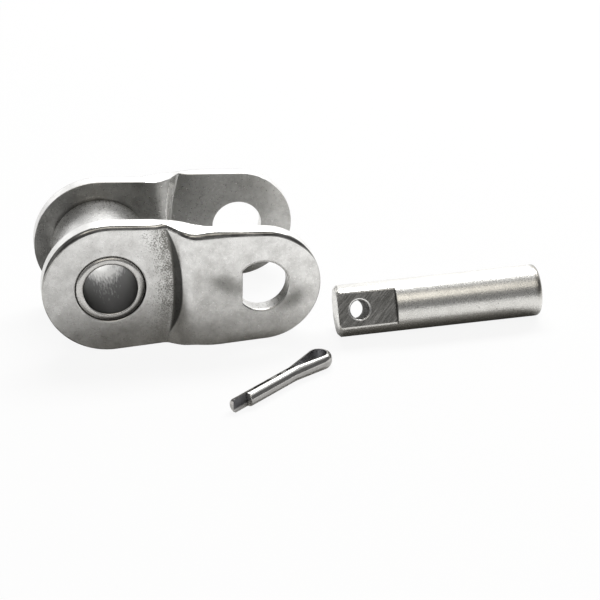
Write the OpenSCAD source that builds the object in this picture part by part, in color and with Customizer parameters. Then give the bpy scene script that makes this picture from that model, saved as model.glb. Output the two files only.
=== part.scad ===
// Offset link of a half-inch pitch roller chain: two cranked plates on a pressed
// bushing with a free roller, and the flatted connecting pin and split cotter
// that close the wide end, lying loose beside the link.
// Millimetres. The origin is the middle of the bushing axis, X runs towards the
// wide end, Y runs along the bushing and Z is up. The link stands on the straight
// lower edges of its plates.

/* [Link plates] */
// Pitch, from the bushing axis to the pin hole axis
pitch = 12.7; // [11:0.1:16]
// Inside width between the plates at the bushing
inner_w = 8.1; // [6:0.1:12]
// Thickness of a plate
plate_t = 1.5; // [1:0.1:2]
// Height of a plate round the bushing
bush_end_h = 11.5; // [10:0.1:13]
// Height of a plate round the pin hole
pin_end_h = 10; // [8:0.1:11]

/* [Crank] */
// Sideways step of each plate
crank_step = 1.67; // [1.2:0.01:2.2]
// Distance from the bushing axis to the crease on the outer face
crease_x = 5.3; // [4.9:0.1:5.8]
// Slope of the crank, in degrees
crank_slope = 48; // [40:1:58]
// Radius of the bowed bend lines, seen from the side
bow_r = 24; // [16:0.5:60]
// Inside radius of a bend
crease_r = 0.5; // [0.2:0.05:0.8]
// Outside radius of a bend
ridge_r = 1.2; // [0.6:0.05:1.5]

/* [Bushing and roller] */
// Outside diameter of the bushing
bush_d = 5.9; // [5.4:0.1:6.6]
// Bore of the bushing
bush_bore = 4.5; // [3.6:0.05:4.8]
// Stick-out of the bushing past each plate
bush_proud = 0.1; // [0:0.05:0.3]
// Rounding of the bushing's outer edges
bush_round = 0.18; // [0.05:0.01:0.3]
// Chamfer at the mouths of the bushing bore
bush_chamfer = 0.1; // [0.05:0.01:0.2]
// Chamfer of the plate round the bushing
seat_chamfer = 0.1; // [0.05:0.01:0.3]
// Outside diameter of the roller
roller_d = 8.51; // [7.6:0.05:9.4]
// Rounding of the roller's outer edges
roller_round = 0.4; // [0.1:0.05:0.6]
// Radial play between roller and bushing
roller_play = 0.05; // [0.02:0.01:0.1]
// Play between the roller and each plate
roller_side_play = 0.12; // [0.05:0.01:0.3]

/* [Connecting pin] */
// Diameter of the pin
pin_d = 4.45; // [3.5:0.05:4.75]
// Radial play of the pin in the plates
pin_play = 0.025; // [0.01:0.005:0.05]
// Distance from the pin axis to its flat
pin_flat = 1.66; // [1.55:0.01:1.74]
// Length of the flat
pin_flat_len = 5; // [4.6:0.1:7]
// Stick-out of the flatted end past its plate
pin_head = 3; // [2.6:0.1:4]
// Stick-out of the round end past its plate
pin_tail = 0.2; // [0:0.05:0.6]
// Chamfer of the flatted end
pin_head_chamfer = 0.25; // [0.1:0.05:0.4]
// Rounding of the round end
pin_tail_round = 0.4; // [0.1:0.05:0.6]
// Diameter of the cotter hole through the flat
cotter_hole_d = 1.6; // [1.4:0.05:2]
// Distance from the flatted end to the cotter hole
cotter_hole_x = 1.85; // [1.6:0.05:2.2]
// Countersink of the cotter hole
cotter_hole_sink = 0.18; // [0.05:0.01:0.3]

/* [Split cotter] */
// Diameter of the closed pair of legs
cotter_d = 1.25; // [1:0.05:1.35]
// Slit between the two legs
cotter_slit = 0.04; // [0.02:0.01:0.1]
// Length of the short leg, from the eye to its tip
cotter_leg = 6; // [5:0.1:9]
// Extra length of the long leg
cotter_lead = 1.5; // [0.5:0.1:2.5]
// Rounding of the leg tips
cotter_tip_round = 0.4; // [0.1:0.05:0.45]
// Inside radius of the eye
eye_r = 0.5; // [0.35:0.05:0.8]
// Half of the angle at which the eye narrows, in degrees
eye_taper = 13; // [10:1:20]
// Radius of the bends between the eye and the legs
eye_bend_r = 2.5; // [1.5:0.1:3.5]

/* [Loose pieces] */
// Clear space between the wide end and the loose pin
pin_gap = 1; // [0.5:0.1:6]
// Distance of the pin axis in front of the near plate
pin_front = 1.03; // [0:0.01:6]
// Turn of the loose pin on the surface, in degrees
pin_turn = -3; // [-12:0.5:12]
// Upward tilt of the pin's flat, in degrees
pin_roll = 26; // [0:1:90]
// Distance of the cotter's eye past the pin hole
cotter_past = 3.4; // [-2:0.1:5]
// Distance of the cotter's eye in front of the near plate
cotter_front = 6; // [4:0.1:12]
// Turn of the cotter on the surface, in degrees
cotter_turn = 35; // [10:1:50]

/* [Hidden] */
$fn = 96;
eps = 0.01;
r_bush_end = bush_end_h / 2;
r_pin_end = pin_end_h / 2;
// The lower edges are level when the link's own axis dips by this angle
dip = asin((r_bush_end - r_pin_end) / pitch);
rest_z = -r_bush_end;
wide_x = pitch * cos(dip);
// Faces of a plate, measured outwards from the middle of the link
inner_face = inner_w / 2;
outer_face = inner_face + plate_t;
wide_inner_face = inner_face + crank_step;
wide_outer_face = outer_face + crank_step;
pin_hole_d = pin_d + 2 * pin_play;
hole_flat = pin_flat + pin_play;
bush_len = 2 * (outer_face + bush_proud);
roller_bore = bush_d + 2 * roller_play;
roller_w = inner_w - 2 * roller_side_play;
pin_len = 2 * wide_outer_face + pin_head + pin_tail;
cotter_r = cotter_d / 2;
fold_steps = 8;
tip_steps = 4;
bend_steps = 4;
eye_steps = 14;
ring_steps = 12;
steel = "silver";
bright_steel = "gainsboro";
grey_steel = "darkgray";

// Sliver between a corner and the arc of radius r that rounds it. The corner's two
// sides leave it at the angles a and b.
module corner_sliver(corner, a, b, r) {
    half = abs(b - a) / 2;
    run = r / tan(half);
    mid = (a + b) / 2;
    difference() {
        polygon([corner, corner + run * [cos(a), sin(a)], corner + run * [cos(b), sin(b)]]);
        translate(corner + r / sin(half) * [cos(mid), sin(mid)]) circle(r);
    }
}

// Points of the arc of radius r that rounds a corner. The corner's two sides leave it
// at the angles from and to.
function rounded(corner, from, to, r) =
    let (turn = sign(to - from),
         mid = (from + to) / 2,
         centre = corner + r / abs(sin((to - from) / 2)) * [cos(mid), sin(mid)])
    [for (i = [0:fold_steps])
        let (a = from - 90 * turn + (to - from - 180 * turn) * i / fold_steps)
        centre + r * [cos(a), sin(a)]];

// Lengthwise section of a plate, as radius from the bow's centre and distance out
// from the middle of the link
module crank_section() {
    rise = crank_step / tan(crank_slope);
    lag = plate_t * tan(crank_slope / 2);
    end_r = bow_r - crease_x + pitch + pin_end_h;
    outer_crease = [bow_r, outer_face];
    outer_ridge = [bow_r + rise, wide_outer_face];
    inner_ridge = [bow_r + lag, inner_face];
    inner_crease = [bow_r + lag + rise, wide_inner_face];
    polygon(concat([[0, inner_face]],
                   rounded(inner_ridge, 180, crank_slope, ridge_r),
                   rounded(inner_crease, 180 + crank_slope, 360, crease_r),
                   [[end_r, wide_inner_face], [end_r, wide_outer_face]],
                   rounded(outer_ridge, 360, 180 + crank_slope, ridge_r),
                   rounded(outer_crease, crank_slope, 180, crease_r),
                   [[0, outer_face]]));
}

// Side outline of a plate: two round ends joined by their tangents
module plate_outline() {
    c = (r_bush_end - r_pin_end) / pitch;
    s = sqrt(1 - c * c);
    circle(r_bush_end);
    translate([pitch, 0]) circle(r_pin_end);
    polygon([r_bush_end * [c, s], r_bush_end * [c, -s], [pitch, 0] + r_pin_end * [c, -s],
             [pitch, 0] + r_pin_end * [c, s]]);
}

// Cranked plate with its seat for the bushing. X runs along the link's own axis and
// Z runs outwards.
module cranked_plate() {
    difference() {
        intersection() {
            translate([crease_x - bow_r, 0, 0]) rotate_extrude() crank_section();
            linear_extrude(height = wide_outer_face + 1) plate_outline();
        }
        cylinder(d = bush_d, h = wide_outer_face + 1);
        translate([0, 0, outer_face - seat_chamfer])
            cylinder(d1 = bush_d, d2 = bush_d + 4 * seat_chamfer, h = 2 * seat_chamfer);
    }
}

// Hole for the pin, cut back to a flat on the side of the bushing
module pin_hole(flat_at) {
    intersection() {
        cylinder(d = pin_hole_d, h = wide_outer_face + 1);
        translate([-flat_at, -pin_hole_d, 0])
            cube([flat_at + pin_hole_d, 2 * pin_hole_d, wide_outer_face + 1]);
    }
}

// Stands a plate up with its outer face towards the front
module stand_up() {
    rotate([0, dip, 0]) rotate([90, 0, 0]) children();
}

module cotter_side_plate() {
    color(steel) stand_up() difference() {
        cranked_plate();
        translate([pitch, 0, 0]) pin_hole(hole_flat);
    }
}

module plain_side_plate() {
    color(steel) mirror([0, 1, 0]) stand_up() difference() {
        cranked_plate();
        translate([pitch, 0, 0]) cylinder(d = pin_hole_d, h = wide_outer_face + 1);
    }
}

// Turned sleeve along Y with rounded outer edges and chamfered bore
module sleeve(outer_d, bore_d, len, edge_round, bore_chamfer) {
    r_out = outer_d / 2;
    r_in = bore_d / 2;
    rotate([90, 0, 0]) rotate_extrude() difference() {
        translate([r_in, -len / 2]) square([r_out - r_in, len]);
        for (side = [-1, 1]) {
            corner_sliver([r_out, side * len / 2], 180, 180 + side * 90, edge_round);
            translate([r_in, side * len / 2]) rotate(45) square(bore_chamfer * sqrt(2), center = true);
        }
    }
}

module bushing() {
    color(bright_steel) sleeve(bush_d, bush_bore, bush_len, bush_round, bush_chamfer);
}

module roller() {
    color(grey_steel) sleeve(roller_d, roller_bore, roller_w, roller_round, bush_chamfer);
}

// Pin along X from its flatted end, with the flat facing the front
module flatted_pin() {
    r = pin_d / 2;
    difference() {
        rotate([0, 90, 0]) rotate_extrude() difference() {
            square([r, pin_len]);
            translate([r, 0]) rotate(45) square(pin_head_chamfer * sqrt(2), center = true);
            corner_sliver([r, pin_len], 180, 270, pin_tail_round);
        }
        translate([-eps, -pin_d - pin_flat, -pin_d])
            cube([pin_flat_len + eps, pin_d, 2 * pin_d]);
        translate([cotter_hole_x, 0, 0]) rotate([90, 0, 0]) {
            cylinder(d = cotter_hole_d, h = 2 * pin_d, center = true);
            translate([0, 0, pin_flat - cotter_hole_sink])
                cylinder(d1 = cotter_hole_d, d2 = cotter_hole_d + 4 * cotter_hole_sink,
                         h = 2 * cotter_hole_sink);
        }
    }
}

module connecting_pin() {
    color(bright_steel)
        translate([wide_x + r_pin_end + pin_gap, -wide_outer_face - pin_front, rest_z + pin_d / 2])
            rotate([0, 0, pin_turn]) rotate([-pin_roll, 0, 0]) flatted_pin();
}

// A station on the flat of the cotter's wire is its place, its heading and the size of
// the section there, with the wire on its left. These follow an arc.
function bend_stations(centre, r, from, to, steps) =
    [for (i = [0:steps]) let (a = from + (to - from) * i / steps)
        [centre + r * [cos(a), sin(a)], a - 90 * sign(from - to), 1]];

// From the tip of a leg on the side of +Y to the tip of the eye. The eye's centre is
// the origin and the leg runs towards -X.
function half_path(leg) =
    let (rise = eye_bend_r * (1 - cos(eye_taper)),
         side = (eye_r * cos(eye_taper) - cotter_slit / 2 - rise) / sin(eye_taper),
         bend_x = -(eye_r + eye_bend_r) * sin(eye_taper) - side * cos(eye_taper))
    concat([for (i = [0:tip_steps]) let (a = 90 * i / tip_steps)
                [[bend_x - leg + cotter_tip_round * (1 - cos(a)), cotter_slit / 2], 0,
                 1 - (1 - sin(a)) * cotter_tip_round / cotter_r]],
           bend_stations([bend_x, cotter_slit / 2 + eye_bend_r], eye_bend_r, 270, 270 + eye_taper,
                         bend_steps),
           bend_stations([0, 0], eye_r, 90 + eye_taper, 0, eye_steps));

// The other half of the wire, without the station at the eye's tip that both share
function mirrored(path) =
    [for (i = [len(path) - 2:-1:0])
        [[path[i][0][0], -path[i][0][1]], 180 - path[i][1], path[i][2]]];

// Half-round section of the wire at one station
function wire_ring(station) =
    [for (i = [0:ring_steps]) let (a = 180 * i / ring_steps - 90, r = cotter_r * station[2])
        [station[0][0] - r * cos(a) * sin(station[1]), station[0][1] + r * cos(a) * cos(station[1]),
         r * sin(a)]];

// Closed skin over a row of rings that all have the same number of points
module skin(rings) {
    n = len(rings[0]);
    last = len(rings) - 1;
    polyhedron([for (ring = rings) each ring],
               concat([[for (i = [0:n - 1]) i]],
                      [for (k = [0:last - 1], i = [0:n - 1])
                          [k * n + i, (k + 1) * n + i, (k + 1) * n + (i + 1) % n, k * n + (i + 1) % n]],
                      [[for (i = [n - 1:-1:0]) last * n + i]]));
}

module cotter_pin() {
    color(bright_steel)
        translate([wide_x + cotter_past, -wide_outer_face - cotter_front, rest_z + cotter_r])
            rotate([0, 0, cotter_turn]) {
                path = concat(half_path(cotter_leg + cotter_lead), mirrored(half_path(cotter_leg)));
                skin([for (station = path) wire_ring(station)]);
            }
}

cotter_side_plate();
plain_side_plate();
bushing();
roller();
connecting_pin();
cotter_pin();
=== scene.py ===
import math

import bmesh
import bpy
import numpy as np
from mathutils import Matrix
from mathutils.geometry import delaunay_2d_cdt


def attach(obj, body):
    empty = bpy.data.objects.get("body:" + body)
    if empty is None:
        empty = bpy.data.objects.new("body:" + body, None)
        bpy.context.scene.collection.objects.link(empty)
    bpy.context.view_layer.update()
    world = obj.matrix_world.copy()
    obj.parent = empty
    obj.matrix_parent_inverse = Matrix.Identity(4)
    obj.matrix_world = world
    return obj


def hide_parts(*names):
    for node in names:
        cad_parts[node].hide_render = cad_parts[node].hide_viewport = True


# Offset link of a half-inch roller chain, standing on the lower edges of its plates,
# with its flatted connecting pin and split cotter lying loose in front of it.
# Lengths are millimetres, but metres for the lights, their rays and the camera's clipping.
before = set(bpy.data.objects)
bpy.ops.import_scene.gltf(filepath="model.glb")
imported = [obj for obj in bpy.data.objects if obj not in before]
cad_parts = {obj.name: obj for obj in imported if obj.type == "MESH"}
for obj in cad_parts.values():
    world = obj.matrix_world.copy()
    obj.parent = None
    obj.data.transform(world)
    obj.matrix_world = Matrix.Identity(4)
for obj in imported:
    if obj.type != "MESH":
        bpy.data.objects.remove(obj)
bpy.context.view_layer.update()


# Bushing: a plain hardened steel sleeve, turned and tumbled, pressed through both plates.
# Its ends stand a little proud, their edges are rounded over and the bore is left dull.

MM = 0.001
bushing_outer = 2.945
bushing_bore = 2.25
bushing_length = 11.3
bushing_edge = 0.32
bushing_bore_edge = 0.22


def put(tree, kind, inputs=None, **settings):
    """A node of a shader or geometry tree, its inputs linked to an output or set to a value."""
    node = tree.nodes.new(kind)
    node.location = (len(tree.nodes) % 12 * 200, len(tree.nodes) // 12 * -320)
    for name, value in settings.items():
        setattr(node, name, value)
    for key, value in (inputs or {}).items():
        if isinstance(value, bpy.types.NodeSocket):
            tree.links.new(value, node.inputs[key])
        else:
            node.inputs[key].default_value = value
    return node


def calc(tree, operation, *values, **settings):
    """Number that a Math node works out."""
    return put(tree, "ShaderNodeMath", dict(enumerate(values)), operation=operation, **settings).outputs[0]


def between(tree, share, one, other):
    """Number that goes from one to the other with its share."""
    mix = put(tree, "ShaderNodeMix", {"Factor": share, "A": one, "B": other}, data_type="FLOAT")
    return mix.outputs["Result"]


def axes_of(tree, place):
    """X, Y and Z of a place."""
    return put(tree, "ShaderNodeSeparateXYZ", {0: place}).outputs


def placed(name, data):
    """A new object in the scene."""
    piece = bpy.data.objects.new(name, data)
    bpy.context.collection.objects.link(piece)
    return piece


def shape_tree(name, sizes):
    """Empty geometry tree with an input for each size and one for the steel, and those inputs."""
    tree = bpy.data.node_groups.new(name, "GeometryNodeTree")
    face = tree.interface
    face.new_socket("Geometry", in_out="OUTPUT", socket_type="NodeSocketGeometry")
    face.new_socket("Geometry", in_out="INPUT", socket_type="NodeSocketGeometry")
    for size in sizes:
        face.new_socket(size, in_out="INPUT", socket_type="NodeSocketFloat")
    face.new_socket("Steel", in_out="INPUT", socket_type="NodeSocketMaterial")
    return tree, put(tree, "NodeGroupInput").outputs


def close_tree(tree, shape, steel):
    """The end of a geometry tree: its shape made real and given its steel."""
    whole = put(tree, "GeometryNodeRealizeInstances", {0: shape})
    finish = put(tree, "GeometryNodeSetMaterial", {"Geometry": whole.outputs[0], "Material": steel})
    put(tree, "NodeGroupOutput", {0: finish.outputs[0]})


def turned_sleeve_tree():
    """Geometry tree: a rounded rectangle swept round the Y axis."""
    tree, given = shape_tree("turned_sleeve", ("Outer Radius", "Bore Radius", "Length",
                                               "Edge Round", "Bore Edge"))
    outer, bore = given["Outer Radius"], given["Bore Radius"]
    section = put(tree, "GeometryNodeCurvePrimitiveQuadrilateral", {
        "Width": calc(tree, "SUBTRACT", outer, bore), "Height": given["Length"]}, mode="RECTANGLE")
    across = axes_of(tree, put(tree, "GeometryNodeInputPosition").outputs[0])["X"]
    edge = between(tree, calc(tree, "GREATER_THAN", across, 0.0), given["Bore Edge"], given["Edge Round"])
    fillet = put(tree, "GeometryNodeFilletCurve", {
        "Curve": section.outputs[0], "Radius": edge, "Count": 8}, mode="POLY")
    middle = calc(tree, "MULTIPLY", calc(tree, "ADD", outer, bore), 0.5)
    rail = put(tree, "GeometryNodeCurvePrimitiveCircle", {"Resolution": 160, "Radius": middle}, mode="RADIUS")
    sweep = put(tree, "GeometryNodeCurveToMesh", {
        "Curve": rail.outputs[0], "Profile Curve": fillet.outputs[0]})
    turn = put(tree, "GeometryNodeTransform", {
        "Geometry": sweep.outputs[0], "Rotation": (math.pi / 2, 0, 0)})
    close_tree(tree, turn.outputs[0], given["Steel"])
    return tree


def made_by_tree(name, start, tree, values):
    """A plain mesh object made by running a geometry tree on a starting object."""
    modifier = start.modifiers.new("shape", "NODES")
    modifier.node_group = tree
    sockets = {s.name: s.identifier for s in tree.interface.items_tree if s.in_out == "INPUT"}
    for key, value in values.items():
        modifier[sockets[key]] = value
    made = bpy.data.meshes.new_from_object(start.evaluated_get(bpy.context.evaluated_depsgraph_get()))
    start.modifiers.remove(modifier)
    bpy.data.objects.remove(start)
    made.name = name
    return placed(name, made)


def dress(piece, sharp_deg):
    """Faces outwards, smooth shading and sharp edges where the surface turns by more than sharp_deg."""
    shape = bmesh.new()
    shape.from_mesh(piece.data)
    bmesh.ops.remove_doubles(shape, verts=shape.verts, dist=0.0015 * MM)
    bmesh.ops.recalc_face_normals(shape, faces=shape.faces)
    shape.to_mesh(piece.data)
    shape.free()
    piece.data.polygons.foreach_set("use_smooth", [True] * len(piece.data.polygons))
    piece.data.set_sharp_from_angle(angle=math.radians(sharp_deg))
    piece.data.update()


sleeve_tree = turned_sleeve_tree()


def turned_sleeve(name, outer, bore, length, edge, bore_edge, steel):
    """A sleeve round the bushing's axis with rounded edges."""
    start = placed(name + "_start", bpy.data.meshes.new(name + "_start"))
    sleeve = made_by_tree(name, start, sleeve_tree, {
        "Outer Radius": outer * MM, "Bore Radius": bore * MM, "Length": length * MM,
        "Edge Round": edge * MM, "Bore Edge": bore_edge * MM, "Steel": steel})
    dress(sleeve, sharp_deg=50)
    return sleeve


def measure(tree, operation, *values):
    """Vector or length that a Vector Math node works out."""
    node = put(tree, "ShaderNodeVectorMath", dict(enumerate(values)), operation=operation)
    return node.outputs["Value" if operation in ("LENGTH", "DOT_PRODUCT") else "Vector"]


def graded(tree, value, span, to, ease="SMOOTHSTEP"):
    """Number that goes from the first to the last of two while a value crosses its span."""
    (low, high), (first, last) = span, to
    grade = put(tree, "ShaderNodeMapRange", {
        "Value": value, "From Min": low, "From Max": high, "To Min": first, "To Max": last},
        interpolation_type=ease)
    return grade.outputs["Result"]


def noise(tree, place, scale, detail, roughness=0.5):
    """Cloudy noise, its scale per millimetre."""
    return put(tree, "ShaderNodeTexNoise", {
        "Vector": place, "Scale": scale, "Detail": detail, "Roughness": roughness}).outputs["Fac"]


def toned(tree, value, *stops):
    """Colour of a value on a ramp of (position, colour) stops."""
    ramp = put(tree, "ShaderNodeValToRGB", {"Fac": value})
    elements = ramp.color_ramp.elements
    elements[0].position, elements[-1].position = stops[0][0], stops[-1][0]
    for position, _ in stops[1:-1]:
        elements.new(position)
    for element, (_, colour) in zip(elements, stops):
        element.color = (*colour, 1)
    return ramp.outputs["Color"]


def blended(tree, share, one, other, how="MIX"):
    """Colour one, turned into the other or multiplied by it where the share is 1."""
    other = (*other, 1) if isinstance(other, tuple) else other
    mix = put(tree, "ShaderNodeMix", {"Factor": share, "A": one, "B": other},
              data_type="RGBA", blend_type=how)
    return mix.outputs["Result"]


def tumbled_steel(name, pale, dull, cloud, gloss, grain, depth):
    """Satin metal: clouds from dull to pale, and a fine grain in its gloss and in its surface.
    Cloud and grain are per millimetre, gloss is the least and the most roughness, depth the grain's.
    Returns the material, its tree and shader, the place in millimetres and the cloudy colour."""
    metal = bpy.data.materials.new(name)
    metal.use_nodes = True
    tree = metal.node_tree
    shader = tree.nodes["Principled BSDF"]
    shader.inputs["Metallic"].default_value = 1.0
    where = put(tree, "ShaderNodeTexCoord").outputs["Object"]
    here = put(tree, "ShaderNodeVectorMath", {0: where, "Scale": 1 / MM}, operation="SCALE").outputs[0]
    tint = toned(tree, noise(tree, here, cloud, 5.0, 0.76), (0.36, dull), (0.62, pale))
    tree.links.new(tint, shader.inputs["Base Color"])
    fine = noise(tree, here, grain, 4.0, 0.55)
    tree.links.new(graded(tree, fine, (0.3, 0.7), gloss, "LINEAR"), shader.inputs["Roughness"])
    bump = put(tree, "ShaderNodeBump", {"Strength": 1.0, "Distance": depth * MM, "Height": fine})
    tree.links.new(bump.outputs["Normal"], shader.inputs["Normal"])
    return metal, tree, shader, here, tint


def bushing_marks_and_painted_light(tree, shader, here, tint):
    """Dark streaked bore inside the bright sleeve, with painted light and shade in it: lighter deeper in and
    darker near the mouth and towards the sides. Painted shade on the lower right of the rim, where the groove
    round it lies in shadow, and a painted highlight on the lower lip of the bore.
    """
    axes = axes_of(tree, here)
    radius = measure(tree, "LENGTH", measure(tree, "MULTIPLY", here, (1, 0, 1)))
    in_bore = graded(tree, radius, (bushing_bore + 0.05, bushing_bore + 0.1), (1, 0), "LINEAR")
    streaks = noise(tree, measure(tree, "MULTIPLY", here, (6.5, 1.2, 6.5)), 1.0, 4.0)
    # Painted light and shade in the bore: it is made lighter deeper in and darker near the mouth and towards
    # the sides; the streaks are the bore's own.
    bright = between(tree, graded(tree, axes["Y"], (-5.0, -2.0), (0.1, 1.0)), 0.4, streaks)
    aside = calc(tree, "ABSOLUTE", axes["X"])
    for more in (graded(tree, axes["Y"], (-1.0, 2.6), (-0.2, 0.38)),
                 graded(tree, aside, (0.5, 2.1), (0.0, -0.26))):
        bright = calc(tree, "ADD", bright, more)
    bore_tone_and_painted_light = toned(tree, bright, (0.3, (0.13, 0.13, 0.127)), (0.85, (0.68, 0.675, 0.66)))
    colour = blended(tree, in_bore, tint, bore_tone_and_painted_light)
    # Painted shade: the rim is darkened on its lower right, where the groove round the bushing lies in
    # shadow.
    at_rim = graded(tree, radius, (2.38, 2.68), (0, 1), "LINEAR")
    low_right = graded(tree, measure(tree, "DOT_PRODUCT", here, (0.6, 0.0, -0.8)), (0.0, 2.2), (0.0, 0.92))
    colour = blended(tree, calc(tree, "MULTIPLY", at_rim, low_right), colour, (0.09, 0.088, 0.083))
    # Painted highlight: the lower lip of the bore is made nearly white.
    at_lip = graded(tree, radius, (2.41, 2.36), (0, 1), "LINEAR")
    low_lip = calc(tree, "MULTIPLY", at_lip, graded(tree, axes["Z"], (-1.5, -2.2), (0, 1)))
    lip_highlight = calc(tree, "SUBTRACT", low_lip, in_bore, use_clamp=True)
    colour = blended(tree, lip_highlight, colour, (0.97, 0.965, 0.95))
    tree.links.new(colour, shader.inputs["Base Color"])
    satin = shader.inputs["Roughness"].links[0].from_socket
    tree.links.new(between(tree, in_bore, satin, 0.48), shader.inputs["Roughness"])


bushing_steel, *wiring = tumbled_steel(
    "bushing_steel", pale=(0.72, 0.71, 0.69), dull=(0.6, 0.59, 0.57),
    cloud=0.9, gloss=(0.2, 0.34), grain=7.0, depth=0.004)
bushing_marks_and_painted_light(*wiring)
bushing = turned_sleeve("bushing_sleeve", bushing_outer, bushing_bore, bushing_length,
                        bushing_edge, bushing_bore_edge, bushing_steel)
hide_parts("bushing")
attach(bushing, "link")


# Roller: a drawn steel sleeve that turns freely on the bushing between the plates.
# Its outer edges are well rounded and its ends stay clear of the plates.

roller_outer = 4.255
roller_bore = 3.0
roller_length = 7.86
roller_edge = 0.42
roller_bore_edge = 0.1

roller_steel = tumbled_steel(
    "roller_steel", pale=(0.79, 0.785, 0.77), dull=(0.67, 0.665, 0.65),
    cloud=0.7, gloss=(0.24, 0.36), grain=6.0, depth=0.004)[0]
roller = turned_sleeve("roller_sleeve", roller_outer, roller_bore, roller_length,
                       roller_edge, roller_bore_edge, roller_steel)
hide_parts("roller")
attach(roller, "roller")


# Link plates: two stainless plates, blanked and pressed with an outward crank, tumbled to a
# soft satin. Blanking rolls the edge of the outer face over and leaves the inner edge sharp.

pitch = 12.7
bushing_end_r = 5.75
pin_end_r = 5.0
dip = math.asin((bushing_end_r - pin_end_r) / pitch)
inner_face = 4.05
plate_thick = 1.5
crank_step = 1.67
bow_r = 24.0
crease_at = 5.3
half_height = 5.3
crease_swell = 0.1
swell_width = 0.5
outer_draw = 0.2
inner_draw = 0.08
draw_width = 1.1
edge_roll_in = 0.5
edge_roll_down = 0.34
inner_edge = 0.04
bush_hole_r = 2.95
groove_in = 0.18
groove_down = 0.3
groove_off_centre = 0.2
pin_hole_r = 2.25
pin_hole_flat = 1.685
pin_lip_in = 0.2
pin_lip_down = 0.16
face_row = 0.16
face_reach = 5.6
outline_step = 0.13
clear_of_edges = 0.09
dead_flat = 0.99999


def crank_rise(s, start, run, r_first, r_last):
    """Height of the crank at the distance s past its crease line: a ramp with a rounded foot and head."""
    slope = np.arctan2(crank_step, run)
    foot = r_first * np.tan(slope / 2)
    head = r_last * np.tan(slope / 2)
    t = s - start
    up = t * np.tan(slope)
    low = r_first - np.sqrt(np.maximum(r_first ** 2 - (t + foot) ** 2, 0))
    high = crank_step - r_last + np.sqrt(np.maximum(r_last ** 2 - (t - run - head) ** 2, 0))
    up = np.where(t < foot * np.cos(slope), low, up)
    up = np.where(t > run - head * np.cos(slope), high, up)
    return np.where(t <= -foot, 0, np.where(t >= run + head, crank_step, up))


def past_crease(u, v):
    """Distance past the bowed crease line, along the link."""
    return np.hypot(u - (crease_at - bow_r), v) - bow_r


def from_axis(v):
    """0 on the link's own axis and 1 at the upper and lower edges."""
    return np.minimum((v / half_height) ** 2, 1.2)


def outer_run(v):
    """Length of the outer face's ramp, which is steepest on the axis."""
    return 0.75 + 1.0 * from_axis(v)


def inner_start(v):
    """Where the inner face's ramp starts past the crease."""
    return 0.78 + 0.25 * from_axis(v)


def inner_run(v):
    """Length of the inner face's ramp."""
    return 0.42 + 1.15 * from_axis(v)


def outer_height(u, v):
    """Distance of the outer face from the middle of the link."""
    far = from_axis(v)
    rise = crank_rise(past_crease(u, v), 0.0, outer_run(v), 0.3 + 0.6 * far, 1.0 + 1.8 * far)
    return inner_face + plate_thick + rise


def inner_height(u, v):
    """Distance of the inner face from the middle of the link."""
    rise = crank_rise(past_crease(u, v), inner_start(v), inner_run(v), 0.9 + 1.8 * from_axis(v), 0.25)
    return inner_face + rise


def squeezed(p, depth):
    """Plate points after pressing: the metal spreads sideways in the crease and draws in over the ridge.
    depth is 0 on the outer face and 1 on the inner one."""
    u, v, w = p.T
    s = past_crease(u, v)
    hump = lambda away, width: np.exp(-(away / width) ** 2)
    swell = np.where(v > 0, crease_swell, 0.0)
    ridge = inner_start(v)
    outer = swell * hump(s, swell_width) - outer_draw * hump(s - outer_run(v) - 0.4, draw_width)
    inner = (swell * hump(s - ridge - inner_run(v), swell_width)
             - inner_draw * hump(s - ridge + 0.3, draw_width))
    side = np.sign(v) * from_axis(v) * (outer + depth * (inner - outer))
    return np.column_stack([u, v + side, w])


def plate_outline(inset):
    """Closed row of points along the plate's outline, moved in by inset."""
    lean = math.acos((bushing_end_r - pin_end_r) / pitch)
    big, small = bushing_end_r - inset, pin_end_r - inset
    n_big = int((2 * math.pi - 2 * lean) * bushing_end_r / outline_step)
    n_small = int(2 * lean * pin_end_r / outline_step)
    n_side = int(pitch / outline_step)
    a = np.linspace(lean, 2 * math.pi - lean, n_big + 1)
    b = np.linspace(-lean, lean, n_small + 1)
    bush_arc = np.stack([big * np.cos(a), big * np.sin(a)], 1)
    pin_arc = np.stack([pitch + small * np.cos(b), small * np.sin(b)], 1)
    t = np.linspace(0, 1, n_side + 1)[1:-1, None]
    under = bush_arc[-1] + t * (pin_arc[0] - bush_arc[-1])
    over = pin_arc[-1] + t * (bush_arc[0] - pin_arc[-1])
    return np.concatenate([bush_arc, under, pin_arc, over])


def roll_share(edge, full):
    """Share of the full roll: 1 along the top, fading round the ends, and more just past the crank."""
    at_pin_end = np.clip((edge[:, 0] - 12.0) / 3.0, 0, 1)
    up = np.clip(((edge - full)[:, 1] - 0.35 * at_pin_end) / (0.7 - 0.1 * at_pin_end), 0, 1)
    past_crank = 0.45 * np.exp(-((edge[:, 0] - 8.2) / 1.6) ** 2)
    return 0.25 - 0.15 * at_pin_end + (0.75 + past_crank) * up * up * (3 - 2 * up)


def rolled_outline(inset):
    """The outline moved in by inset where the edge is rolled fully, and by less elsewhere."""
    edge, full = plate_outline(0.0), plate_outline(1.0)
    return edge + (roll_share(edge, full) * inset)[:, None] * (full - edge)


def round_hole(centre, r, inset, off_centre=0.0, n=144):
    """Round hole widened by inset, which is more on its lower right where its chamfer is off centre."""
    a = np.linspace(0, 2 * math.pi, n, endpoint=False)
    wide = r + inset * (1 + off_centre * np.cos(a + 0.9))
    return np.stack([centre + wide * np.cos(a), wide * np.sin(a)], 1)


def flatted_hole(centre, r, flat, inset, n=120, n_flat=32):
    """Round hole cut back to a flat on the side of the bushing."""
    big, cut = r + inset, flat + inset
    end = math.acos(-cut / big)
    a = np.linspace(-end, end, n)
    arc = np.stack([centre + big * np.cos(a), big * np.sin(a)], 1)
    t = np.linspace(0, 1, n_flat + 1)[1:-1, None]
    return np.concatenate([arc, arc[-1] + t * (arc[0] - arc[-1])])


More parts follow.
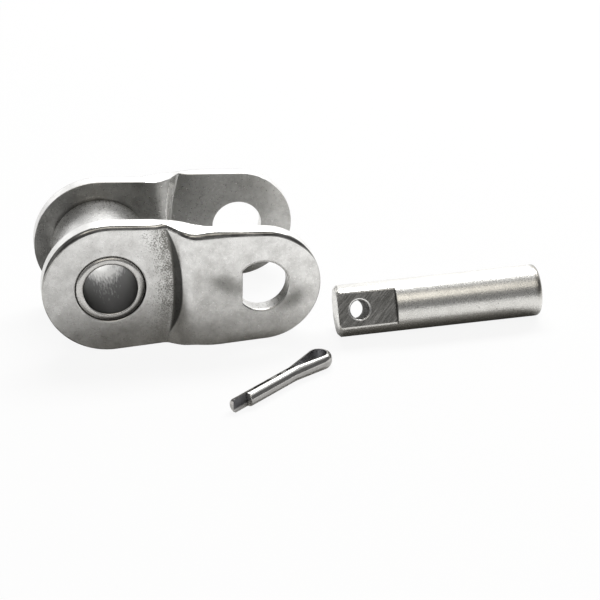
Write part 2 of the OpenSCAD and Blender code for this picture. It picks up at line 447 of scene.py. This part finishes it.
def inside(points, loop):
    """Which points lie inside a closed loop."""
    hit = np.zeros(len(points), bool)
    for p, q in zip(loop, np.roll(loop, -1, 0)):
        cross = (p[1] > points[:, 1]) != (q[1] > points[:, 1])
        x = p[0] + (points[:, 1] - p[1]) / np.where(q[1] == p[1], 1e-9, q[1] - p[1]) * (q[0] - p[0])
        hit ^= cross & (points[:, 0] < x)
    return hit


def stations_outer(v):
    """Distances past the crease of a row's points on the outer face, close together on the crank."""
    return np.concatenate([np.linspace(-0.7, 0.4, 13), np.linspace(0.5, outer_run(v) + 1.6, 20)])


def stations_inner(v):
    """The same on the inner face."""
    start = inner_start(v)
    return np.concatenate([np.linspace(-0.9, start, 15), start + np.linspace(0.08, inner_run(v) + 0.4, 13)])


def cranked_face(height, stations, border, holes):
    """Triangles of one face of a plate, fine across the crank, between its border and its holes."""
    rows = []
    for v in np.arange(-face_reach, face_reach + 0.01, face_row):
        u = np.sqrt((bow_r + stations(v)) ** 2 - v * v) + crease_at - bow_r
        rows.append(np.stack([u, np.full_like(u, v)], 1))
    grid = np.concatenate(rows)
    keep = inside(grid, border)
    for loop in [border] + holes:
        gap = np.min(np.linalg.norm(grid[:, None] - loop[None], axis=2), 1)
        keep &= gap > clear_of_edges
    for loop in holes:
        keep &= ~inside(grid, loop)
    points, edges = [grid[keep]], []
    first = int(keep.sum())
    for loop in [border] + holes:
        k = len(loop)
        points.append(loop)
        edges += [(first + i, first + (i + 1) % k) for i in range(k)]
        first += k
    flat = np.concatenate(points)
    got = delaunay_2d_cdt([tuple(p) for p in flat], edges, [], 1, 1e-6)
    flat = np.array([tuple(p) for p in got[0]])
    tris = np.array([t for t in got[2]])
    middle = flat[tris].mean(1)
    good = inside(middle, border)
    for loop in holes:
        good &= ~inside(middle, loop)
    lifted = np.column_stack([flat, height(flat[:, 0], flat[:, 1])])
    return squeezed(lifted, 0 if height is outer_height else 1), tris[good]


def edge_rows(loop_at, roll_in, roll_down):
    """Rows of points from the outer face over a rolled edge and down the cut wall to the inner face."""
    rows = []
    for turn in np.linspace(0, math.pi / 2, 8):
        p = loop_at(roll_in * (1 - math.sin(turn)))
        rolled = outer_height(p[:, 0], p[:, 1]) - roll_down * (1 - math.cos(turn))
        rows.append(squeezed(np.column_stack([p, rolled]), 0))
    p = loop_at(0.0)
    top = outer_height(p[:, 0], p[:, 1]) - roll_down
    low = inner_height(p[:, 0], p[:, 1]) + inner_edge
    for t in np.linspace(0, 1, 7)[1:]:
        rows.append(squeezed(np.column_stack([p, top + t * (low - top)]), t))
    p = loop_at(inner_edge)
    rows.append(squeezed(np.column_stack([p, inner_height(p[:, 0], p[:, 1])]), 1))
    return rows


def link_plate(name, side, pin_hole_at, metals):
    """One cranked plate; side is -1 for the near plate and 1 for the far one. An edge has a row of
    faces next to the outer face, six on its roll, six on its wall and one next to the inner face."""
    satin, cut, rolled, groove = range(len(metals))
    bush_hole_at = lambda inset: round_hole(0.0, bush_hole_r, inset, groove_off_centre)
    round_edge = edge_roll_down * roll_share(plate_outline(0.0), plate_outline(1.0))
    holes = [(bush_hole_at, groove_in, groove_down, [cut] * 2 + [groove] * 10),
             (pin_hole_at, pin_lip_in, pin_lip_down, [satin] * 3 + [rolled] * 3 + [satin] * 6)]
    edges = [(rolled_outline, edge_roll_in, round_edge, [rolled] * 6 + [cut] * 6)] + holes
    points, faces, kinds = [], [], []

    def add(p, f, kind):
        first = sum(map(len, points))
        points.append(p)
        faces.extend([[i + first for i in q] for q in f])
        kinds.extend(kind)

    for height, stations, border, hole_loops in (
            (outer_height, stations_outer, rolled_outline(edge_roll_in), [h[0](h[1]) for h in holes]),
            (inner_height, stations_inner, rolled_outline(inner_edge), [h[0](inner_edge) for h in holes])):
        p, tris = cranked_face(height, stations, border, hole_loops)
        add(p, tris, [satin] * len(tris))
    for loop_at, roll_in, roll_down, by_row in edges:
        rows = edge_rows(loop_at, roll_in, roll_down)
        n = len(rows[0])
        quads = [[r * n + i, r * n + (i + 1) % n, (r + 1) * n + (i + 1) % n, (r + 1) * n + i]
                 for r in range(len(rows) - 1) for i in range(n)]
        add(np.concatenate(rows), quads, [kind for kind in [satin] + by_row + [satin] for _ in range(n)])
    u, v, w = np.concatenate(points).T
    x = u * math.cos(dip) + v * math.sin(dip)
    z = -u * math.sin(dip) + v * math.cos(dip)
    mesh = bpy.data.meshes.new(name)
    mesh.from_pydata(np.column_stack([x, side * w, z]) * MM, [], faces)
    for metal in metals:
        mesh.materials.append(metal)
    mesh.polygons.foreach_set("material_index", kinds)
    plate = placed(name, mesh)
    dress(plate, sharp_deg=40)
    for side_face in mesh.polygons:
        if abs(side_face.normal.y) > dead_flat:
            side_face.use_smooth = False
    return plate


def own_place(tree, place, at=(0, 0, 0), turned=(0, 0, 0), size=(1, 1, 1)):
    """A place as it is in a frame of its own that stands at a point, turned and stretched."""
    return put(tree, "ShaderNodeMapping", {
        "Vector": place, "Location": at, "Rotation": turned, "Scale": size},
        vector_type="TEXTURE").outputs[0]


# Dark patches on the plates: two stained patches by the flatted hole and a darker patch low on the plate
# below it.
dark_patches = (((9.7, -6.5, 0.35), 24, (2.2, 4.0, 1.0)),
          ((15.5, -6.5, -1.25), -36, (1.9, 4.0, 0.9)),
          ((11.6, -6.5, -5.5), -4, (4.6, 4.0, 1.3)))


def plate_marks_and_painted_light(tree, shader, here, tint):
    """What pressing and handling leave, with light and shade painted in: a painted gradient of light, painted
    shade on the inner face with a painted highlight on its slope, two stained patches by the flatted hole and
    a darker patch low on the plate below it, a painted reflection on the steep of the crank, and pits in
    front of it."""
    own = own_place(tree, here, turned=(0, dip, 0))
    axes = axes_of(tree, own)
    along = calc(tree, "SUBTRACT", axes["X"], crease_at - bow_r)
    level = put(tree, "ShaderNodeCombineXYZ", {"X": along, "Z": axes["Z"]}).outputs[0]
    past = calc(tree, "SUBTRACT", measure(tree, "LENGTH", level), bow_r)
    facing = put(tree, "ShaderNodeNewGeometry").outputs["True Normal"]
    outwards = calc(tree, "MULTIPLY", axes_of(tree, facing)["Y"], axes["Y"])
    outer = calc(tree, "GREATER_THAN", outwards, 0.3)

    # Painted light and shade: the plate is made darker low down and towards the bushing end, and lighter high
    # up and towards the pin end.
    high_right = calc(tree, "MULTIPLY_ADD", axes["Z"], 2.0, axes["X"])
    painted_light_gradient = graded(tree, high_right, (-10.0, 16.0), (0.8, 1.2), "LINEAR")
    colour = blended(tree, 1.0, tint, painted_light_gradient, "MULTIPLY")
    # Painted shade between the plates: the inner face is darkened, less so towards the pin end.
    inner = calc(tree, "LESS_THAN", outwards, -3.2)
    painted_shade_inside = calc(tree, "MULTIPLY", inner, graded(tree, axes["X"], (13.5, 18.5), (1.0, 0.55)))
    colour = blended(tree, painted_shade_inside, colour, (0.49, 0.49, 0.485), "MULTIPLY")
    # Painted highlight: the slope of the crank on the inner face is made nearly white.
    inner_slope = calc(tree, "COMPARE", outwards, -1.75, 1.4)
    colour = blended(tree, inner_slope, colour, (0.9, 0.895, 0.88))
    for middle, tilt, size in dark_patches:
        off = measure(tree, "LENGTH", own_place(tree, own, middle, (0, math.radians(tilt), 0), size))
        colour = blended(tree, graded(tree, off, (1.25, 0.1), (0.0, 0.9)), colour,
                         (0.42, 0.42, 0.41), "MULTIPLY")

    # Painted reflection: the steep of the crank on the outer face is made nearly black, where it mirrors the
    # crease.
    height = calc(tree, "DIVIDE", calc(tree, "SUBTRACT", axes["Z"], 0.5), 5.1)
    bowed = calc(tree, "POWER", calc(tree, "ABSOLUTE", height), 3.0)
    ridge = graded(tree, bowed, (0, 1), (0.66, 0.0), "LINEAR")
    below_ridge = graded(tree, calc(tree, "SUBTRACT", ridge, past), (-0.05, 0.09), (0, 1))
    above_crease = graded(tree, past, (-0.12, 0.1), (0, 1))
    steep = calc(tree, "MULTIPLY", calc(tree, "MULTIPLY", below_ridge, above_crease), outer)
    colour = blended(tree, steep, colour, (0.11, 0.11, 0.105))

    near_crease = graded(tree, past, (-3.0, 0.3), (0.0, 0.235))
    clusters = graded(tree, noise(tree, here, 1.3, 2.0), (0.35, 0.65), (-0.06, 0.04), "LINEAR")
    deep = calc(tree, "ADD", noise(tree, here, 8.8, 3.0, 0.7), calc(tree, "ADD", near_crease, clusters))
    pits = graded(tree, deep, (0.61, 0.77), (0, 1), "LINEAR")
    fewer_low = graded(tree, axes["Z"], (-4.6, -1.2), (0.25, 1.0))
    for limit in (fewer_low, calc(tree, "LESS_THAN", past, 0.15), outer):
        pits = calc(tree, "MULTIPLY", pits, limit)
    colour = blended(tree, pits, colour, (0.19, 0.185, 0.17))
    tree.links.new(colour, shader.inputs["Base Color"])


def die_lines(tree, shader, here, tint):
    """Dark and bright lines that the blanking die drags along the rolled edge."""
    lines = noise(tree, measure(tree, "MULTIPLY", here, (0.4, 7.0, 0.4)), 1.0, 3.0)
    lined = graded(tree, lines, (0.36, 0.64), (0.45, 1.5), "LINEAR")
    tree.links.new(blended(tree, 1.0, tint, lined, "MULTIPLY"), shader.inputs["Base Color"])


plate_steel, *wiring = tumbled_steel(
    "plate_steel", pale=(0.79, 0.785, 0.77), dull=(0.59, 0.585, 0.57),
    cloud=0.7, gloss=(0.25, 0.36), grain=5.0, depth=0.005)
plate_marks_and_painted_light(*wiring)
cut_steel = tumbled_steel(
    "cut_edge_steel", pale=(0.88, 0.875, 0.86), dull=(0.76, 0.755, 0.74),
    cloud=1.2, gloss=(0.28, 0.42), grain=9.0, depth=0.006)[0]
# The rolled edges' dark tone is painted reflection: it stands for the dim front of the room that the rolled
# edge mirrors.
rolled_steel, *wiring = tumbled_steel(
    "rolled_edge_steel", pale=(0.46, 0.455, 0.44), dull=(0.34, 0.335, 0.32),
    cloud=1.5, gloss=(0.12, 0.2), grain=8.0, depth=0.003)
die_lines(*wiring)
# Painted shade: the groove round the bushing is made nearly black, where it lies in shadow.
groove_shade_steel = tumbled_steel(
    "press_groove_painted_shade", pale=(0.24, 0.235, 0.225), dull=(0.12, 0.118, 0.112),
    cloud=2.0, gloss=(0.35, 0.5), grain=8.0, depth=0.006)[0]
plate_metals = (plate_steel, cut_steel, rolled_steel, groove_shade_steel)
near_plate = link_plate("cotter_side_plate_pressed", -1,
                        lambda inset: flatted_hole(pitch, pin_hole_r, pin_hole_flat, inset), plate_metals)
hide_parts("cotter_side_plate")
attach(near_plate, "link")
far_plate = link_plate("plain_side_plate_pressed", 1,
                       lambda inset: round_hole(pitch, pin_hole_r, inset), plate_metals)
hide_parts("plain_side_plate")
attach(far_plate, "link")


# Connecting pin: ground steel, with one flat milled on its end and a countersunk cross hole
# for the cotter. It lies loose on the table with the flat turned up towards the front.

pin_r = 2.225
pin_length = 17.64
head_chamfer = 0.25
tail_round = 0.4
flat_off = 1.66
flat_length = 5.0
flat_half = 1.41
flat_flare = math.radians(21)
cross_hole_r = 0.8
cross_hole_at = 1.85
cross_hole_rim = 0.2
sink_flare = 0.26
deburr = 0.04
pin_place = (18.678, -8.25, -3.525)
pin_turn = math.radians(-3)
pin_roll = math.radians(-26)
tool_reach = 4
mill_half = 3


def turned(name, profile, segments):
    """Solid turned round the X axis from a row of (x, radius) points that starts and ends on the axis."""
    shape = bmesh.new()
    rings = []
    for x, r in profile:
        if r == 0:
            rings.append([shape.verts.new((x * MM, 0, 0))])
        else:
            rings.append([shape.verts.new((x * MM, r * MM * math.cos(a), r * MM * math.sin(a)))
                          for a in np.linspace(0, 2 * math.pi, segments, endpoint=False)])
    for one, two in zip(rings, rings[1:]):
        for i in range(segments):
            j = (i + 1) % segments
            corners = [one[i % len(one)], one[j % len(one)], two[j % len(two)], two[i % len(two)]]
            shape.faces.new(list(dict.fromkeys(corners)))
    return shaped(name, shape)


def shaped(name, shape):
    """Object from a closed bmesh, its faces turned outwards."""
    bmesh.ops.recalc_face_normals(shape, faces=shape.faces)
    mesh = bpy.data.meshes.new(name)
    shape.to_mesh(mesh)
    shape.free()
    return placed(name, mesh)


tail = [(pin_length - tail_round + tail_round * math.sin(a), pin_r - tail_round + tail_round * math.cos(a))
        for a in np.linspace(0, math.pi / 2, 10)]
blank = turned("pin_blank", [(0, 0), (0, pin_r - head_chamfer), (head_chamfer, pin_r)] + tail
               + [(pin_length, 0)], segments=224)
rim = [(flat_off - cross_hole_rim * (1 - math.sin(a)), cross_hole_r + cross_hole_rim * (1 - math.cos(a)))
       for a in np.linspace(0, math.radians(64), 7)]
above_flat = flat_off + 0.1
drill = turned("pin_drill", [(-tool_reach, 0), (-tool_reach, cross_hole_r)] + rim
               + [(above_flat, rim[-1][1] + sink_flare), (above_flat, 0)], segments=72)
drill.data.transform(Matrix.Translation((cross_hole_at * MM, 0, 0)) @ Matrix.Rotation(-math.pi / 2, 4, "Z"))
flare = math.tan(flat_flare) * (mill_half - flat_half)
section = [(-tool_reach, -mill_half), (-tool_reach, mill_half), (flare - flat_off, mill_half),
           (-flat_off, flat_half), (-flat_off, -flat_half), (flare - flat_off, -mill_half)]
cutter = bmesh.new()
ends = [[cutter.verts.new((x * MM, y * MM, z * MM)) for y, z in section] for x in (-1, flat_length)]
for i in range(len(section)):
    j = (i + 1) % len(section)
    cutter.faces.new((ends[0][i], ends[0][j], ends[1][j], ends[1][i]))
for end in ends:
    cutter.faces.new(end)
mill = shaped("pin_mill", cutter)
for tool in (mill, drill):
    cut = blank.modifiers.new("cut", "BOOLEAN")
    cut.operation = "DIFFERENCE"
    cut.solver = "EXACT"
    cut.object = tool
soften = blank.modifiers.new("deburr", "BEVEL")
soften.width = deburr * MM
soften.segments = 2
soften.limit_method = "ANGLE"
soften.angle_limit = math.radians(38)
pin_mesh = bpy.data.meshes.new_from_object(blank.evaluated_get(bpy.context.evaluated_depsgraph_get()))
for scrap in (blank, drill, mill):
    bpy.data.objects.remove(scrap)
lie = Matrix.Rotation(pin_turn, 4, "Z") @ Matrix.Rotation(pin_roll, 4, "X")
laid_down = Matrix.Translation([c * MM for c in pin_place]) @ lie
pin_mesh.transform(laid_down)
pin = placed("connecting_pin_ground", pin_mesh)


def pin_marks_and_painted_light(tree, shader, here, tint):
    """Pits on the shank, painted shade on its lower side, the tail darker on its upper side, slanting cutter
    marks on the dull flat, a bright rim round the cross hole and a painted shadow on the wall where the flat
    ends."""
    own = own_place(tree, here, pin_place, (pin_roll, 0, pin_turn))
    axes, height = axes_of(tree, own), axes_of(tree, here)["Z"]
    pits = graded(tree, noise(tree, here, 3.2, 2.0), (0.68, 0.74), (0.0, 0.6), "LINEAR")
    colour = blended(tree, pits, tint, (0.3, 0.29, 0.27))
    # Painted shade: the shank is darkened towards the table.
    underside = graded(tree, height, (-3.9, -4.9), (0, 1))
    colour = blended(tree, underside, colour, (0.3, 0.297, 0.288), "MULTIPLY")
    at_tail = graded(tree, axes["X"], (pin_length - 0.75, pin_length - 0.3), (0.0, 0.8))
    upper_tail = calc(tree, "MULTIPLY", at_tail, graded(tree, height, (-3.6, -2.4), (0, 1)))
    colour = blended(tree, upper_tail, colour, (0.3, 0.285, 0.26), "MULTIPLY")

    on_flat = graded(tree, axes["Y"], (0.04 - flat_off, 0.015 - flat_off), (0, 1), "LINEAR")
    in_length = calc(tree, "LESS_THAN", axes["X"], flat_length - 0.04)
    in_width = calc(tree, "LESS_THAN", calc(tree, "ABSOLUTE", axes["Z"]), flat_half)
    flat = calc(tree, "MULTIPLY", on_flat, calc(tree, "MULTIPLY", in_length, in_width))
    slant = own_place(tree, own, turned=(0, math.radians(-45), 0), size=(1.6, 1.0, 0.11))
    marks = toned(tree, noise(tree, slant, 1.0, 5.0, 0.65),
                  (0.38, (0.3, 0.295, 0.28)), (0.62, (0.68, 0.67, 0.65)))
    colour = blended(tree, flat, colour, marks)

    from_hole = own_place(tree, own, (cross_hole_at, 0, 0))
    off = measure(tree, "LENGTH", measure(tree, "MULTIPLY", from_hole, (1, 0, 1)))
    at_rim = calc(tree, "LESS_THAN", off, cross_hole_r + 0.19)
    colour = blended(tree, at_rim, colour, (0.88, 0.875, 0.86))
    # Painted shadow on the wall of the step where the flat ends.
    at_step = calc(tree, "COMPARE", axes["X"], flat_length, 0.05)
    cut_back = calc(tree, "LESS_THAN", axes["Y"], 0.06 - flat_off)
    colour = blended(tree, calc(tree, "MULTIPLY", at_step, cut_back), colour, (0.16, 0.157, 0.15))
    tree.links.new(colour, shader.inputs["Base Color"])


pin_steel, *wiring = tumbled_steel(
    "pin_steel", pale=(0.84, 0.83, 0.8), dull=(0.73, 0.72, 0.69),
    cloud=0.8, gloss=(0.23, 0.36), grain=7.5, depth=0.011)
pin_marks_and_painted_light(*wiring)
oxide, _, shader, *_ = tumbled_steel(
    "drilled_hole_oxide", pale=(0.24, 0.235, 0.225), dull=(0.14, 0.137, 0.13),
    cloud=2.0, gloss=(0.5, 0.65), grain=8.0, depth=0.006)
shader.inputs["Metallic"].default_value = 0.0
shader.inputs["Specular IOR Level"].default_value = 0.15
pin_mesh.materials.clear()
for metal in (pin_steel, oxide):
    pin_mesh.materials.append(metal)
dress(pin, sharp_deg=32)
upright = laid_down.inverted()
for side in pin_mesh.polygons:
    own_normal = upright.to_3x3() @ side.normal
    if max(abs(own_normal.x), -own_normal.y) > dead_flat:
        side.use_smooth = False
    own_middle = upright @ side.center
    off_hole = math.hypot(own_middle.x - cross_hole_at * MM, own_middle.z)
    if off_hole < (cross_hole_r + 0.005) * MM and abs(own_normal.y) < 0.2:
        side.material_index = 1
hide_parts("connecting_pin")
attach(pin, "link")


# Split cotter: bright drawn half-round wire folded flat to flat round an eye, with one leg left
# longer so that the legs can be parted. It lies loose on the table.

wire_r = 0.615
eye_r = 0.7
eye_wire = 0.67
eye_taper = math.radians(13)
eye_bend_r = 2.5
slit = 0.02
gap = 0.13
gap_ease = 0.14
gaps_from = -8.42
gap_ends = ((0.82, 2.86), (3.5, 4.07), (4.6, 9.0))
long_tip, long_tip_round = -9.921, 0.26
short_tip, short_tip_round = -8.421, 0.12
cotter_place = (16.078, -13.22, -5.125)
cotter_turn = math.radians(35)


def parted(x):
    """1 in the three stretches between the short leg's tip and the eye where the legs don't touch."""
    along = x - gaps_from
    return sum(0.5 * (np.tanh((along - a) / gap_ease) - np.tanh((along - b) / gap_ease))
               for a, b in gap_ends)


def flattened(x):
    """Share of the wire's thickness left towards the eye, where the fold has flattened it."""
    return np.interp(x, (-2.6, -0.5), (1.0, eye_wire))


def cotter_leg(tip_x, tip_round):
    """Stations from a leg's tip to the tip of the eye: place on the flat of the wire, and size."""
    bend_out = eye_bend_r * (1 - math.cos(eye_taper))
    side = (eye_r * math.cos(eye_taper) - slit - bend_out) / math.sin(eye_taper)
    bend_x = -(eye_r + eye_bend_r) * math.sin(eye_taper) - side * math.cos(eye_taper)
    row = []
    for a in np.linspace(0, math.pi / 2, 8):
        row.append((tip_x + tip_round * (1 - math.cos(a)), slit, 1 - (1 - math.sin(a)) * tip_round / wire_r))
    for x in np.linspace(tip_x + tip_round, bend_x, 90)[1:-1]:
        row.append((x, slit, flattened(x)))
    for a in np.linspace(0, eye_taper, 8):
        x = bend_x + eye_bend_r * math.sin(a)
        row.append((x, slit + eye_bend_r * (1 - math.cos(a)), flattened(x)))
    for a in np.linspace(math.pi / 2 + eye_taper, 0, 26):
        x = eye_r * math.cos(a)
        row.append((x, eye_r * math.sin(a), flattened(x)))
    return row


def half_round_tree():
    """Geometry tree: a half-round section swept along a level path, flat side on the path."""
    tree, given = shape_tree("half_round_wire", ("Wire Radius",))
    level = put(tree, "GeometryNodeSetCurveNormal", {"Curve": given["Geometry"]}, mode="Z_UP")
    section = put(tree, "GeometryNodeCurveArc", {
        "Resolution": 25, "Start Angle": math.pi / 2, "Sweep Angle": math.pi,
        "Connect Center": False, "Radius": given["Wire Radius"]}, mode="RADIUS")
    closed = put(tree, "GeometryNodeSetSplineCyclic", {"Cyclic": True, 0: section.outputs["Curve"]})
    sweep = put(tree, "GeometryNodeCurveToMesh", {
        "Fill Caps": True, "Curve": level.outputs[0], "Profile Curve": closed.outputs[0]})
    if "Scale" in sweep.inputs:
        tree.links.new(put(tree, "GeometryNodeInputRadius").outputs[0], sweep.inputs["Scale"])
    close_tree(tree, sweep.outputs[0], given["Steel"])
    return tree


cotter_steel, tree, shader, here, tint = tumbled_steel(
    "cotter_steel", pale=(0.62, 0.61, 0.595), dull=(0.52, 0.51, 0.495),
    cloud=1.2, gloss=(0.13, 0.19), grain=8.0, depth=0.0015)
# Painted reflection: the flank is made lighter at its foot, where the table is mirrored, with a dark band
# above it.
up_flank = graded(tree, axes_of(tree, here)["Z"], (-5.75, -4.75), (0, 1), "LINEAR")
painted_reflection_bands = toned(tree, up_flank, *[(stop, (shade,) * 3) for stop, shade in
                                  ((0.0, 1.3), (0.2, 1.2), (0.4, 0.7), (0.72, 0.7), (0.82, 1.0))])
tree.links.new(blended(tree, 1.0, tint, painted_reflection_bands, "MULTIPLY"), shader.inputs["Base Color"])
flat_steel, tree, shader, here, tint = tumbled_steel(
    "cotter_flat_steel", pale=(0.15, 0.15, 0.157), dull=(0.1, 0.1, 0.106),
    cloud=2.0, gloss=(0.3, 0.42), grain=9.0, depth=0.003)
from_eye = measure(tree, "LENGTH", own_place(tree, here, cotter_place))
colour = blended(tree, graded(tree, from_eye, (2.2, 4.5), (1, 0)), tint, (0.27, 0.27, 0.283))
# Painted reflection: the flat is made nearly white just above the table, where the table is mirrored.
painted_floor_reflection = graded(tree, axes_of(tree, here)["Z"], (-5.5, -5.3), (0.85, 0.0))
tree.links.new(blended(tree, painted_floor_reflection, colour, (0.9, 0.9, 0.9)), shader.inputs["Base Color"])

stations = cotter_leg(long_tip, long_tip_round)
stations += [(x, -y, size) for x, y, size in reversed(cotter_leg(short_tip, short_tip_round)[:-1])]
wire = bpy.data.curves.new("cotter_path", "CURVE")
wire.dimensions = "3D"
run = wire.splines.new("POLY")
run.points.add(len(stations) - 1)
for point, (x, y, size) in zip(run.points, stations):
    point.co = (x * MM, y * MM, 0, 1)
    point.radius = size
cotter = made_by_tree("cotter_wire", placed("cotter_path", wire), half_round_tree(),
                      {"Wire Radius": wire_r * MM, "Steel": cotter_steel})
for corner in cotter.data.vertices:
    corner.co.z /= flattened(corner.co.x / MM)
    if corner.co.y > 0:
        corner.co.y = max(corner.co.y, (slit + gap * parted(corner.co.x / MM)) * MM)
cotter.data.transform(Matrix.Translation([c * MM for c in cotter_place])
                      @ Matrix.Rotation(cotter_turn, 4, "Z"))
dress(cotter, sharp_deg=40)
cotter.data.materials.append(flat_steel)
for side in cotter.data.polygons:
    heights = [cotter.data.vertices[i].co.z for i in side.vertices]
    if len(heights) == 4 and max(heights) - min(heights) > 1.2 * wire_r * MM:
        side.material_index = 1
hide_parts("cotter_pin")
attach(cotter, "link")


# Table and light: a plain white table top under a soft studio light from above and behind, with
# the dim front of the room where the camera stands, a dark flag on the right and a white card
# behind on the left.

rest_z = -5.75
table_reach = 1500.0


def rays_seen(tree):
    """Light Path's outputs, and 1 for what the camera sees, straight or through glass."""
    rays = put(tree, "ShaderNodeLightPath").outputs
    return rays, calc(tree, "ADD", rays["Is Camera Ray"], rays["Is Transmission Ray"])


table_top = bpy.data.meshes.new("table_top")
table_top.from_pydata([(x * table_reach * MM, y * table_reach * MM, rest_z * MM) for x, y in
                       ((-1, -1), (1, -1), (1, 1), (-1, 1))], [], [(0, 1, 2, 3)])
table = placed("table_top", table_top)
paint = bpy.data.materials.new("table_white")
paint.use_nodes = True
tree = paint.node_tree
tree.nodes.clear()
rays, plain = rays_seen(tree)
open_table = graded(tree, rays["Ray Length"], (0.008, 0.03), (0.0, 0.6))
mirrored = calc(tree, "MULTIPLY", rays["Is Glossy Ray"], open_table)
share = calc(tree, "MULTIPLY_ADD", plain, 0.9, mirrored)
matt = put(tree, "ShaderNodeBsdfDiffuse", {"Color": (0.9, 0.9, 0.9, 1)})
glow = put(tree, "ShaderNodeEmission")
both = put(tree, "ShaderNodeMixShader", {0: share, 1: matt.outputs[0], 2: glow.outputs[0]})
put(tree, "ShaderNodeOutputMaterial", {"Surface": both.outputs[0]})
table_top.materials.append(paint)

room = bpy.data.worlds.new("studio")
bpy.context.scene.world = room
room.use_nodes = True
tree = room.node_tree
tree.nodes.clear()
way = put(tree, "ShaderNodeTexCoord").outputs["Generated"]
shade = graded(tree, measure(tree, "DOT_PRODUCT", way, (0.55, 0.78, 0.3)), (0.1, 0.97), (0.13, 1.6))
flag = graded(tree, measure(tree, "DOT_PRODUCT", way, (0.93, -0.26, 0.25)), (0.78, 0.92), (0, 1))
card = graded(tree, measure(tree, "DOT_PRODUCT", way, (-0.46, 0.88, 0.12)), (0.955, 0.985), (0, 1))
carded = calc(tree, "ADD", between(tree, flag, shade, 0.08), card)
rays, plain = rays_seen(tree)
backdrop = calc(tree, "MULTIPLY_ADD", rays["Is Glossy Ray"], 0.12, plain, use_clamp=True)
white = between(tree, backdrop, carded, 1.0)
fill = graded(tree, rays["Is Diffuse Ray"], (0, 1), (1.0, 0.52), "LINEAR")
sky = put(tree, "ShaderNodeBackground", {"Strength": calc(tree, "MULTIPLY", white, fill)})
put(tree, "ShaderNodeOutputWorld", {"Surface": sky.outputs[0]})


def soft_panel(name, size_x, size_y, watts, colour, elevation, distance, across, behind):
    """Rectangular soft light that faces the link from in front of it or from behind."""
    panel = bpy.data.lights.new(name, "AREA")
    panel.shape = "RECTANGLE"
    panel.size = size_x
    panel.size_y = size_y
    panel.energy = watts
    panel.color = colour
    lamp = placed(name, panel)
    up = math.radians(elevation)
    side = 1 if behind else -1
    lamp.location = (across, side * distance * math.cos(up), distance * math.sin(up))
    lamp.rotation_euler = (-side * (math.pi / 2 - up), 0, 0)


soft_panel("back_softbox", size_x=0.4, size_y=0.11, watts=1.4, colour=(1, 1, 1),
           elevation=61, distance=0.35, across=0.16, behind=True)
soft_panel("front_panel", size_x=0.22, size_y=0.12, watts=0.095, colour=(1.0, 0.95, 0.86),
           elevation=54, distance=0.25, across=0.01, behind=False)

lens = bpy.data.cameras.new("camera")
lens.sensor_width = 36.0
lens.lens = 103.976
lens.clip_start = 0.005
lens.clip_end = 10.0
camera = placed("camera", lens)
right = (0.97888, -0.19944, -0.04500)
down = (-0.13060, -0.44061, -0.88815)
ahead = (0.15731, 0.87526, -0.45735)
stand = (-7.4517 * MM, -136.7231 * MM, 65.1562 * MM)
camera.matrix_world = Matrix([[right[k], -down[k], -ahead[k], stand[k]] for k in range(3)] + [[0, 0, 0, 1]])
bpy.context.scene.camera = camera
bpy.context.scene.view_settings.view_transform = "Standard"
